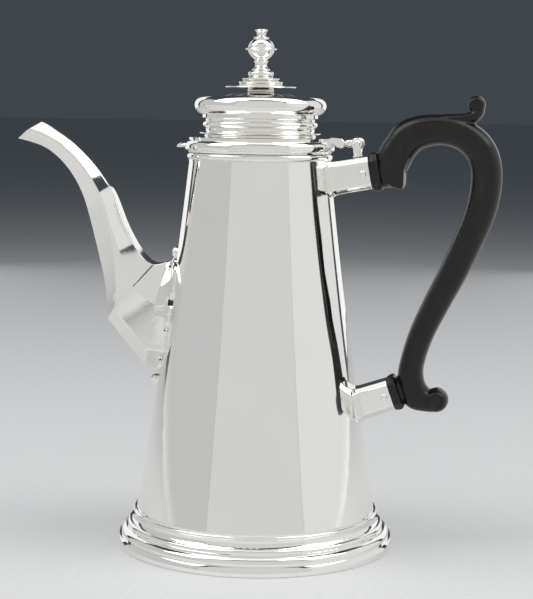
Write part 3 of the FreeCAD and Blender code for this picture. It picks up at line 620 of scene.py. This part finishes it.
def make_hinge(material):
    """The lid's strap, its oval bead and its knuckle, and the forked post that carries the pin."""
    low, high = node_mm("hinge_pin")
    across, height = (low.x + high.x) / 2, (low.z + high.z) / 2
    flange = node_mm("lid_flange")[1].x
    arm = [
        strap("strap", [(flange - 3.0, height + 0.2), (flange - 0.3, height - 0.4),
                        (flange + 1.5, height - 1.7), (flange + 3.4, height - 2.2),
                        (flange + 4.5, height - 0.8), (flange + 4.6, height + 0.6),
                        (flange + 3.5, height + 2.0), (flange - 0.5, height + 2.4),
                        (flange - 2.7, height + 1.7)], 3.9, 0.25),
        bead("oval_bead", (flange + 6.3, 0, height + 0.1), (2.2, 2.4, 1.85)),
        bead("neck", (across - 2.6, 0, height), (2.6, 1.4, 1.0)),
        turned_knob("knuckle", across, height, 2.1, 2.05),
    ]
    arm = carved("lid_hinge_strap", arm, HINGE_VOXEL)
    placed(arm, "lid", "silver", material, "lid_hinge_arm")
    stem_low = node_mm("hinge_post")[0].z
    post = [
        strap("stem", [(across - 1.9, stem_low), (across + 2.0, stem_low + 0.9),
                       (across + 1.1, height - 3.4), (across - 1.2, height - 3.4)], 2.4),
        strap("saddle", [(across - 1.4, height - 4.3), (across + 1.3, height - 4.3),
                         (across + 1.7, height - 2.6), (across - 1.7, height - 2.6)], 4.2),
    ]
    half_cheek, cheek_offset = 0.95, 3.25
    for side in (-1, 1):
        cheek = turned_knob("cheek", across, height, 2.55, half_cheek)
        tongue = strap("tongue", [(across - 1.35, height - 4.0), (across + 1.35, height - 4.0),
                                  (across + 1.8, height - 1), (across - 1.8, height - 1)],
                       half_cheek, 0.3)
        for part in (cheek, tongue):
            part.data.transform(Matrix.Translation((0, side * cheek_offset * MM, 0)))
        post += [cheek, tongue]
    post = carved("hinge_fork", post, HINGE_VOXEL)
    placed(post, "pot", "silver", material, "hinge_post")


def make_lid_top(material):
    """The cushion dome and the stepped button that carries the finial."""
    low, high = node_mm("lid_dome")
    seat, crown, widest = low.z, high.z, high.x
    hole = 1.6
    dome = turned("cushion_dome", [
        (widest - 6.1, seat, 0), (widest - 3.2, seat, 0), (widest, seat + 4.1, 76),
        (widest - 3.6, crown - 2.0, 80), (hole, crown, 4), (hole, crown - 1.0, 0),
        (widest - 3.9, crown - 3.0, -10), (widest - 1.0, seat + 4.1, -80),
        (widest - 4.4, seat + 1.0, -50), (widest - 6.1, seat + 1.0, 0)])
    placed(even_normals(dome), "lid", "silver", material, "lid_dome")
    low, high = node_mm("finial_plate")
    base, top, brim = low.z, high.z, high.x
    button = turned("stepped_button", [
        (hole, base, 0), (5.4, base, 0), (5.8, top - 5.4, -50), (brim, top - 4.7, -8),
        (brim, top - 4.1, 150), (10.2, top - 3.3, -10), (8.2, top - 2.9, 0),
        (9.2, top - 2.2, 140), (7.4, top - 1.8, 0), (7.0, top - 1.4, 0), (7.8, top - 0.8, 140),
        (6.4, top - 0.5, 0), (5.4, top, -40), (hole, top, 0)])
    placed(even_normals(button), "lid", "silver", material, "finial_plate")


def make_thumb_tab(material):
    """A leaf-shaped lifting tab, domed above and more shallowly domed below."""
    low, high = node_mm("thumb_tab")
    flange = -node_mm("lid_flange")[1].x
    rings = []
    for step in range(1, 30):
        part = step / 30
        across = flange + 2.4 + (low.x - flange - 2.4) * part
        wide = 4.7 * math.sqrt(1 - part ** 2.6)
        thick = 1.5 * math.sqrt(1 - part ** 3) + 0.12
        height = high.z - 1.25 - 0.9 * part ** 2
        rings.append([(across, wide * math.cos(turn), height + thick * math.sin(turn)
                       * (1.0 if math.sin(turn) > 0 else 0.6))
                      for turn in (2 * math.pi * side / 36 for side in range(36))])
    piece = skin("lifting_tab", rings)
    return placed(piece, "lid", "silver", material, "thumb_tab")


def make_handle(material):
    """The carved scroll with its two curls, and the pillow-like collar at each socket."""
    parts = [
        scroll_mesh("scroll", SCROLL, 130),
        scroll_mesh("thumb_piece", THUMB, 40),
        strap("spur", [(53.2, 155.2), (55.6, 153.1), (60.3, 151.7), (61.1, 154.0), (61.1, 160.0),
                       (63.0, 165.0), (57.0, 169.0), (53.0, 165.5)], 7.4, 0.7),
        turned_knob("thumb_curl", 89.6, 187.0, 3.7, 4.4),
        turned_knob("lower_curl", 76.4, 64.2, 5.0, 6.2),
    ]
    piece = carved("handle_scroll", parts, HANDLE_VOXEL)
    placed(piece, "pot", "ebony", material, "handle")
    for which, mouth, growth, long in (("upper", UPPER_MOUTH, 1.25, 5.4),
                                       ("lower", LOWER_MOUTH, 0.8, 4.6)):
        profile = [(-3.0, -1.7), (0.05, -0.9), (0.15, 0.25), (0.7, growth * 0.7),
                   (1.8, growth), (long - 2.0, growth), (long - 1.1, growth * 0.5),
                   (long - 0.4, -0.7), (long + 1.2, -1.6)]
        collar = shoulder(which + "_collar", *mouth, profile, edge=1.0, steps=72, flat=0.56)
        placed(even_normals(collar), "pot", "ebony", material, "handle")


# ---------------------------------------------------------------- studio

CAMERA_TURN = math.radians(10)
CAMERA_DISTANCE, CAMERA_HEIGHT = 667.5, 183.1
CAMERA_PITCH, CAMERA_ROLL, CAMERA_YAW = (math.radians(angle) for angle in (6.763, 0.79, 0.308))
CAMERA_LENS = 95.3


def make_camera():
    """A nearly level view of the pot's side, turned towards the handle and tipped down a little."""
    forward = Vector((math.sin(CAMERA_YAW) * math.cos(CAMERA_PITCH),
                      math.cos(CAMERA_YAW) * math.cos(CAMERA_PITCH), -math.sin(CAMERA_PITCH)))
    level = Vector((math.cos(CAMERA_YAW), -math.sin(CAMERA_YAW), 0))
    upright = level.cross(forward)
    right = level * math.cos(CAMERA_ROLL) + upright * math.sin(CAMERA_ROLL)
    up = upright * math.cos(CAMERA_ROLL) - level * math.sin(CAMERA_ROLL)
    axes = Matrix((right, up, -forward)).transposed().to_4x4()
    data = bpy.data.cameras.new("camera")
    data.lens = CAMERA_LENS
    data.sensor_width = 36
    data.clip_start, data.clip_end = 0.01, 100
    camera = bpy.data.objects.new("camera", data)
    bpy.context.scene.collection.objects.link(camera)
    place = Matrix.Translation(Vector((0, -CAMERA_DISTANCE, CAMERA_HEIGHT)) * MM)
    camera.matrix_world = Matrix.Rotation(CAMERA_TURN, 4, "Z") @ place @ axes
    bpy.context.scene.camera = camera


# Soft boxes round the table: azimuth in degrees from the camera, positive to its right, then
# distance from the pot's axis, height, the height aimed at, width and height of the box in
# millimetres, and its radiance.
SOFT_BOXES = [
    ("front_box", 0, 900, 760, 760, 1860, 1500, 0.6),
    ("left_box", -88, 900, 500, 500, 1620, 1000, 0.5),
    ("right_box", 88, 900, 500, 500, 1620, 1000, 0.7),
    ("left_key", -77, 600, 900, 100, 600, 700, 2.5),
    ("right_key", 77, 600, 900, 100, 600, 700, 2.5),
    ("top_box", 0, 60, 1100, 100, 700, 700, 1.0),
    ("left_strip", -150, 1200, 460, 460, 560, 900, 0.9),
    ("right_strip", 150, 1200, 460, 460, 560, 900, 0.9),
]
WORLD_COLOUR = (0.05, 0.06, 0.07)
FLOOR_RADIUS = 30000
FLOOR_COLOURS = [(0.3, (0.78, 0.78, 0.78)), (0.7, (0.82, 0.82, 0.82))]


def make_lights():
    """Plain soft boxes; the power that gives a box its radiance grows with its area."""
    toward = Vector((math.sin(CAMERA_TURN), -math.cos(CAMERA_TURN), 0))
    aside = Vector((math.cos(CAMERA_TURN), math.sin(CAMERA_TURN), 0))
    for name, azimuth, distance, height, aim, wide, tall, radiance in SOFT_BOXES:
        turn = math.radians(azimuth)
        place = (toward * math.cos(turn) + aside * math.sin(turn)) * distance
        place.z = height
        data = bpy.data.lights.new(name, "AREA")
        data.shape = "RECTANGLE"
        data.size, data.size_y = wide * MM, tall * MM
        data.energy = radiance * math.pi * wide * tall * MM ** 2
        light = bpy.data.objects.new(name, data)
        light.location = place * MM
        light.rotation_mode = "QUATERNION"
        light.rotation_quaternion = (Vector((0, 0, aim)) - place).to_track_quat("-Z", "Y")
        light.visible_camera = False
        bpy.context.scene.collection.objects.link(light)


def make_world():
    world = bpy.data.worlds.new("studio")
    world.use_nodes = True
    world.node_tree.nodes["Background"].inputs["Color"].default_value = (*WORLD_COLOUR, 1)
    bpy.context.scene.world = world


def make_floor():
    """A wide disc of plain pale paper."""
    mesh = bmesh.new()
    bmesh.ops.create_circle(mesh, cap_ends=True, segments=96, radius=FLOOR_RADIUS * MM)
    floor = finished("floor", mesh)
    material, tree, shader = new_material("pale_paper")
    place = add_node(tree, "ShaderNodeTexCoord").outputs["Object"]
    fibre = noise(tree, place, 400, 3)
    tree.links.new(ramp(tree, fibre, FLOOR_COLOURS), shader.inputs["Base Color"])
    shader.inputs["Roughness"].default_value = 0.8
    shader.inputs["Specular IOR Level"].default_value = 0.1
    floor.data.materials.append(material)


# ---------------------------------------------------------------- the whole pot


def main():
    bpy.context.scene.view_settings.view_transform = "Standard"
    make_camera()
    make_world()
    make_floor()
    make_lights()
    lathed = silver_material("turned_silver", 0.10, 0.2, (0.12, 0.12, 1))
    raised = silver_material("raised_silver", 0.22, 0.25, (1, 1, 1))
    ebony = ebony_material()
    for name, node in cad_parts.items():
        node.data.materials.clear()
        node.data.materials.append(ebony if name == "handle" else lathed)
    make_spout(raised)
    make_spout_plate(raised, painted_shade_material())
    make_spout_drop(raised)
    make_socket("upper", UPPER_MOUTH, -16.9, raised)
    make_socket("lower", LOWER_MOUTH, -15.5, raised)
    make_hinge(raised)
    make_lid_top(lathed)
    make_thumb_tab(raised)
    make_handle(ebony)


main()
